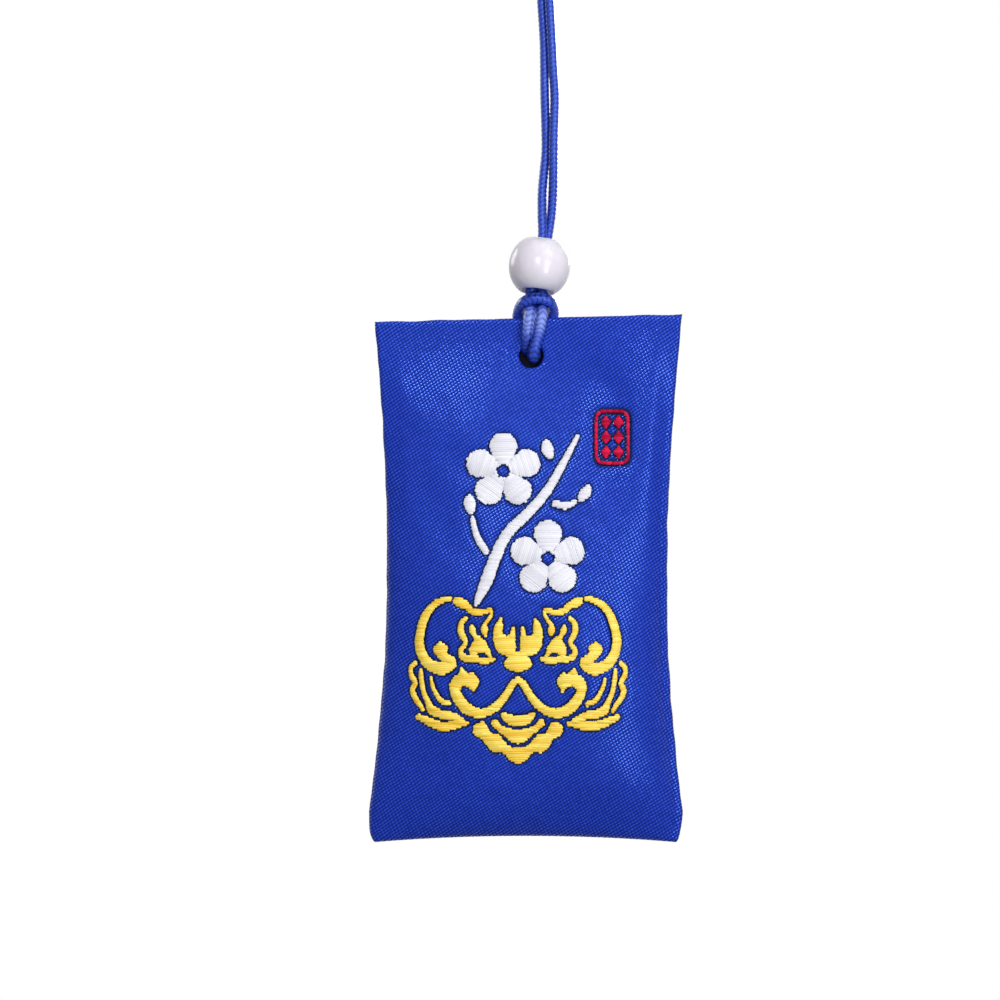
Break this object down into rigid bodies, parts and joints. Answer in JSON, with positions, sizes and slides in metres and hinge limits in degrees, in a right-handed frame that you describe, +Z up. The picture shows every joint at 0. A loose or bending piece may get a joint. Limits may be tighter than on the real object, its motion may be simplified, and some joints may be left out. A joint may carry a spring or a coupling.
{
  "type": "amulet pouch",
  "caption": "Padded satin amulet pouch with raised embroidery, hung by a lark's-head hitch on a doubled cord that runs through a round ceramic bead to a hanging eye.",
  "frame": {"origin": "where a hook bears, under the top of the cord's hanging eye", "axes": "+Z up along the hanging cord, +X to the right as seen from the embroidered front, the front faces -Y"},
  "size_m": [0.041, 0.0094, 0.1351],
  "materials": {
    "satin": "woven polyester satin with a fine slanting rib and a soft sheen",
    "seam_thread": "spun polyester sewing thread",
    "gold_thread": "bright rayon embroidery thread in long flat stitches",
    "white_thread": "bright rayon embroidery thread in long flat stitches",
    "red_thread": "bright rayon embroidery thread",
    "nonwoven": "matt nonwoven embroidery backing",
    "wadding": "loose polyester wadding",
    "paper": "uncoated folded paper",
    "board": "plain pressed board",
    "bond_film": "hot-melt bonding film",
    "cord": "round braided polyester cord",
    "ceramic": "white glaze with a mirror highlight"
  },
  "bodies": {
    "hang_loop": {"hang_cord": "cord"},
    "bead": {"bead": "ceramic"},
    "hitch": {"hitch": "cord"},
    "pouch": {"front_panel": "satin", "back_panel": "satin", "left_seam_thread": "seam_thread", "right_seam_thread": "seam_thread", "foot_seam_thread": "seam_thread", "mouth_bond": "bond_film", "embroidery_backing": "nonwoven", "front_wadding": "wadding", "back_wadding": "wadding", "paper_wrap": "paper", "amulet_tablet": "board", "lotus_scroll_left": "gold_thread", "lotus_scroll_right": "gold_thread", "lotus_ribbon_left": "gold_thread", "lotus_ribbon_right": "gold_thread", "lotus_flame_left": "gold_thread", "lotus_flame_right": "gold_thread", "lotus_leaf_outer_left": "gold_thread", "lotus_leaf_outer_right": "gold_thread", "lotus_leaf_middle_left": "gold_thread", "lotus_leaf_middle_right": "gold_thread", "lotus_leaf_inner_left": "gold_thread", "lotus_leaf_inner_right": "gold_thread", "lotus_hooks": "gold_thread", "lotus_crescent_upper": "gold_thread", "lotus_crescent_lower": "gold_thread", "lotus_base": "gold_thread", "lotus_crown": "gold_thread", "upper_blossom": "white_thread", "lower_blossom": "white_thread", "sprig_branch": "white_thread", "sprig_twig_left": "white_thread", "sprig_twig_right": "white_thread", "sprig_bud_left": "white_thread", "sprig_bud_right": "white_thread", "sprig_bud_top": "white_thread", "red_frame": "red_thread", "red_diamond_upper_left": "red_thread", "red_diamond_upper_right": "red_thread", "red_diamond_middle_left": "red_thread", "red_diamond_middle_right": "red_thread", "red_diamond_lower_left": "red_thread", "red_diamond_lower_right": "red_thread"}
  },
  "joints": [
    {"name": "bead_slide", "type": "slide", "parent": "hang_loop", "child": "bead", "axis": [0.042, 0, 0.9991], "range_m": [0, 0.022]},
    {"name": "pouch_swing", "type": "hinge", "parent": "hang_loop", "child": "hitch", "pos_m": [-0.00081, 0.00036, -0.06225], "axis": [1, 0, 0], "range_deg": [-30, 30]},
    {"name": "pouch_tilt", "type": "hinge", "parent": "hitch", "child": "pouch", "pos_m": [-0.00145, 0, -0.0703], "axis": [0, 1, 0], "range_deg": [-10, 10]}
  ]
}
